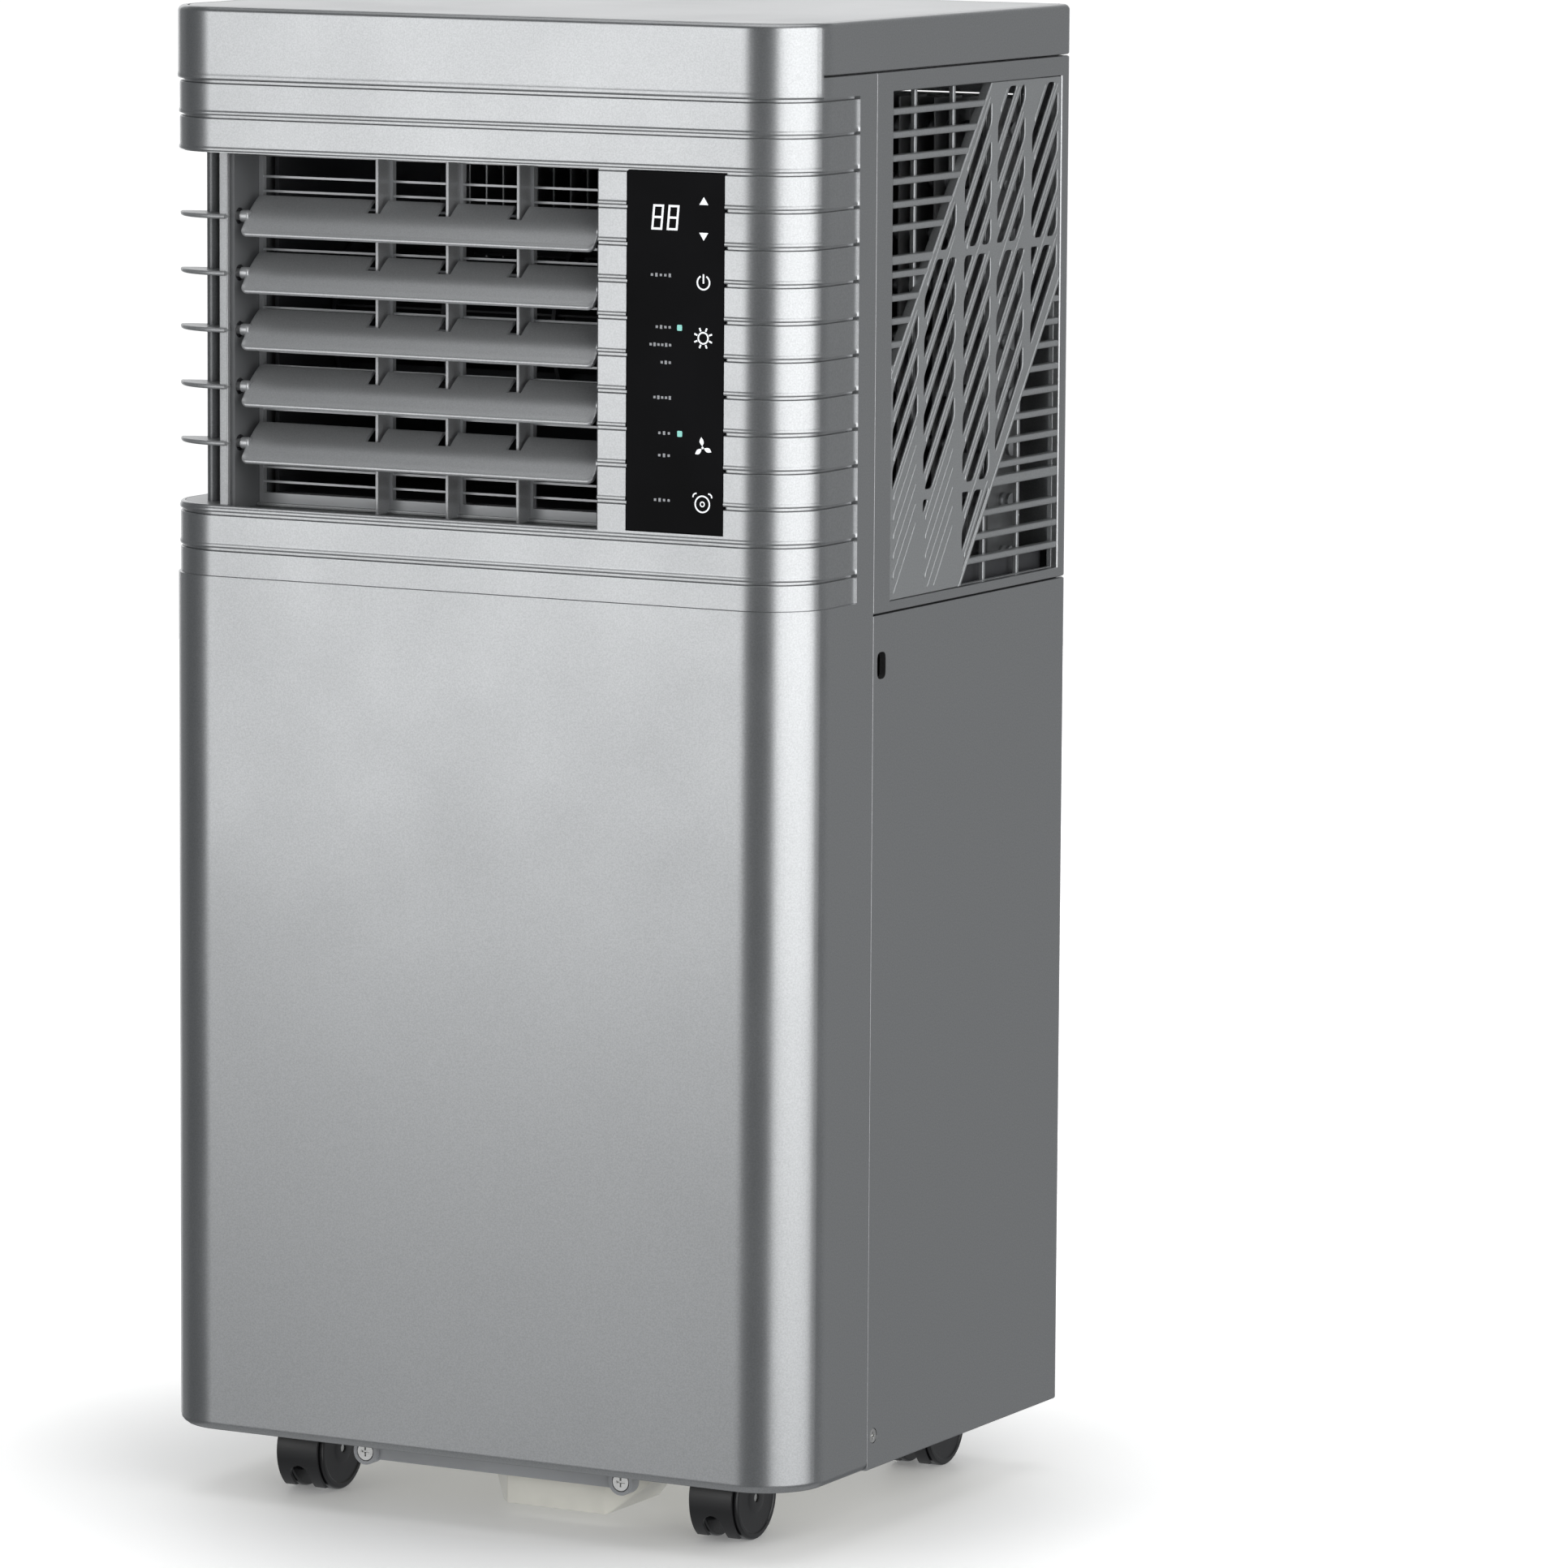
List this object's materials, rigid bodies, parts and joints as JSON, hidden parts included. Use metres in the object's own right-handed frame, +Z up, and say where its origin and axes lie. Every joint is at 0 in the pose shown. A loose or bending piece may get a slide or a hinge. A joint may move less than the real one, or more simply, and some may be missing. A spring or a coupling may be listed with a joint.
{
  "type": "portable air conditioner",
  "caption": "Upright portable air conditioner on casters, with a louvred front outlet, a touch panel, side grilles and a rear hose port.",
  "frame": {"origin": "on the floor, under the middle of the casing", "axes": "+Z up, -Y out of the front with the louvres, +Y out of the back with the hose port, +X to the touch panel's side"},
  "size_m": [0.328, 0.261, 0.674],
  "materials": {
    "case_silver": "satin silver-grey metallic paint over moulded plastic",
    "grille_silver": "satin silver-grey metallic paint over moulded plastic",
    "louvre_grey": "satin grey moulded plastic",
    "outlet_grey": "matt mid-grey moulded plastic",
    "black_glass": "polished black glass-like plate with printed signs",
    "dark_plastic": "matt charcoal plastic",
    "filter_mesh": "fine woven nylon filter mesh",
    "rubber": "matt black rubber",
    "cream_plastic": "satin cream plastic",
    "grey_rail": "satin mid-grey plastic",
    "screw_steel": "bright zinc-plated steel",
    "caster_black": "satin black nylon",
    "wheel_black": "satin black nylon",
    "white_plastic": "natural acetal",
    "motor_steel": "zinc-plated steel can",
    "circuit_green": "green solder mask",
    "galvanised": "galvanised sheet",
    "compressor_black": "satin black enamel",
    "coil_aluminium": "mill-finish fin stock",
    "copper": "drawn copper tube"
  },
  "bodies": {
    "chassis": {"front_shell": "case_silver", "top_cover": "case_silver", "rear_shell_upper": "case_silver", "rear_shell_lower": "case_silver", "intake_grille": "case_silver", "corner_fins": "case_silver", "side_grille_right": "grille_silver", "side_grille_left": "grille_silver", "strut_comb": "grille_silver", "outlet_frame": "outlet_grey", "outlet_guard": "outlet_grey", "touch_panel": "black_glass", "exhaust_collar": "dark_plastic", "cord_gland": "dark_plastic", "lower_fan_scroll": "dark_plastic", "upper_fan_scroll": "dark_plastic", "compressor_feet": "rubber", "base_pan": "cream_plastic", "sump": "cream_plastic", "partition_tray": "cream_plastic", "front_rail": "grey_rail", "rail_screws": "screw_steel", "case_screws": "screw_steel", "caster_sockets": "screw_steel", "swing_motor": "motor_steel", "lower_fan_motor": "motor_steel", "upper_fan_motor": "motor_steel", "display_board": "circuit_green", "control_box": "galvanised", "run_capacitor": "galvanised", "compressor": "compressor_black", "accumulator": "compressor_black", "condenser_coil": "coil_aluminium", "evaporator_coil": "coil_aluminium", "refrigerant_pipes": "copper"},
    "louvre_1": {"louvre_1": "louvre_grey"},
    "louvre_2": {"louvre_2": "louvre_grey"},
    "louvre_3": {"louvre_3": "louvre_grey"},
    "louvre_4": {"louvre_4": "louvre_grey"},
    "louvre_5": {"louvre_5": "louvre_grey"},
    "louvre_link": {"louvre_link": "white_plastic"},
    "swing_crank": {"swing_crank": "white_plastic"},
    "caster_fl": {"caster_hood_fl": "caster_black"},
    "wheels_fl": {"caster_wheels_fl": "wheel_black", "caster_axle_fl": "screw_steel"},
    "caster_fr": {"caster_hood_fr": "caster_black"},
    "wheels_fr": {"caster_wheels_fr": "wheel_black", "caster_axle_fr": "screw_steel"},
    "caster_rl": {"caster_hood_rl": "caster_black"},
    "wheels_rl": {"caster_wheels_rl": "wheel_black", "caster_axle_rl": "screw_steel"},
    "caster_rr": {"caster_hood_rr": "caster_black"},
    "wheels_rr": {"caster_wheels_rr": "wheel_black", "caster_axle_rr": "screw_steel"},
    "upper_fan": {"upper_fan_wheel": "dark_plastic"},
    "lower_fan": {"lower_fan_wheel": "dark_plastic"},
    "filter_door": {"filter_cover": "case_silver", "filter_screen": "filter_mesh"},
    "drain_plug_upper": {"drain_plug_upper": "rubber"},
    "drain_plug_lower": {"drain_plug_lower": "rubber"}
  },
  "joints": [
    {"name": "louvre_1_pivot", "type": "hinge", "parent": "chassis", "child": "louvre_1", "pos_m": [0, -0.1195, 0.5812], "axis": [1, 0, 0], "range_deg": [-36, 47]},
    {"name": "louvre_2_pivot", "type": "hinge", "parent": "chassis", "child": "louvre_2", "pos_m": [0, -0.1195, 0.5559], "axis": [1, 0, 0], "range_deg": [-36, 47]},
    {"name": "louvre_3_pivot", "type": "hinge", "parent": "chassis", "child": "louvre_3", "pos_m": [0, -0.1195, 0.5306], "axis": [1, 0, 0], "range_deg": [-36, 47]},
    {"name": "louvre_4_pivot", "type": "hinge", "parent": "chassis", "child": "louvre_4", "pos_m": [0, -0.1195, 0.5053], "axis": [1, 0, 0], "range_deg": [-36, 47]},
    {"name": "louvre_5_pivot", "type": "hinge", "parent": "chassis", "child": "louvre_5", "pos_m": [0, -0.1195, 0.48], "axis": [1, 0, 0], "range_deg": [-36, 47]},
    {"name": "link_pivot", "type": "hinge", "parent": "louvre_1", "child": "louvre_link", "pos_m": [0.07, -0.11154, 0.58043], "axis": [1, 0, 0], "range_deg": [-47, 36]},
    {"name": "swing_crank_turn", "type": "hinge", "parent": "chassis", "child": "swing_crank", "pos_m": [0.073, -0.097, 0.5306], "axis": [1, 0, 0], "range_deg": [-36, 47]},
    {"name": "caster_swivel_fl", "type": "hinge", "parent": "chassis", "child": "caster_fl", "pos_m": [-0.107, -0.092, 0.05], "axis": [0, 0, 1], "continuous": true},
    {"name": "caster_swivel_fr", "type": "hinge", "parent": "chassis", "child": "caster_fr", "pos_m": [0.107, -0.092, 0.05], "axis": [0, 0, 1], "continuous": true},
    {"name": "caster_swivel_rl", "type": "hinge", "parent": "chassis", "child": "caster_rl", "pos_m": [-0.107, 0.092, 0.05], "axis": [0, 0, 1], "continuous": true},
    {"name": "caster_swivel_rr", "type": "hinge", "parent": "chassis", "child": "caster_rr", "pos_m": [0.107, 0.092, 0.05], "axis": [0, 0, 1], "continuous": true},
    {"name": "wheel_roll_fl", "type": "hinge", "parent": "caster_fl", "child": "wheels_fl", "pos_m": [-0.107, -0.0805, 0.0189], "axis": [1, 0, 0], "continuous": true},
    {"name": "wheel_roll_fr", "type": "hinge", "parent": "caster_fr", "child": "wheels_fr", "pos_m": [0.107, -0.0805, 0.0189], "axis": [1, 0, 0], "continuous": true},
    {"name": "wheel_roll_rl", "type": "hinge", "parent": "caster_rl", "child": "wheels_rl", "pos_m": [-0.107, 0.1035, 0.0189], "axis": [1, 0, 0], "continuous": true},
    {"name": "wheel_roll_rr", "type": "hinge", "parent": "caster_rr", "child": "wheels_rr", "pos_m": [0.107, 0.1035, 0.0189], "axis": [1, 0, 0], "continuous": true},
    {"name": "upper_fan_spin", "type": "hinge", "parent": "chassis", "child": "upper_fan", "pos_m": [0, -0.008, 0.53], "axis": [1, 0, 0], "continuous": true},
    {"name": "lower_fan_spin", "type": "hinge", "parent": "chassis", "child": "lower_fan", "pos_m": [0.078, 0.06, 0.15], "axis": [0, 1, 0], "continuous": true},
    {"name": "filter_door_tilt", "type": "hinge", "parent": "chassis", "child": "filter_door", "pos_m": [0, 0.1291, 0.442], "axis": [-1, 0, 0], "range_deg": [0, 30]},
    {"name": "drain_plug_upper_pull", "type": "slide", "parent": "chassis", "child": "drain_plug_upper", "axis": [0, 1, 0], "range_m": [0, 0.02]},
    {"name": "drain_plug_lower_pull", "type": "slide", "parent": "chassis", "child": "drain_plug_lower", "axis": [0, 1, 0], "range_m": [0, 0.02]}
  ],
  "couplings": [
    {"joint": "louvre_2_pivot", "follows": "louvre_1_pivot", "ratio": 1},
    {"joint": "louvre_3_pivot", "follows": "louvre_1_pivot", "ratio": 1},
    {"joint": "louvre_4_pivot", "follows": "louvre_1_pivot", "ratio": 1},
    {"joint": "louvre_5_pivot", "follows": "louvre_1_pivot", "ratio": 1},
    {"joint": "link_pivot", "follows": "louvre_1_pivot", "ratio": -1},
    {"joint": "swing_crank_turn", "follows": "louvre_1_pivot", "ratio": 1}
  ]
}
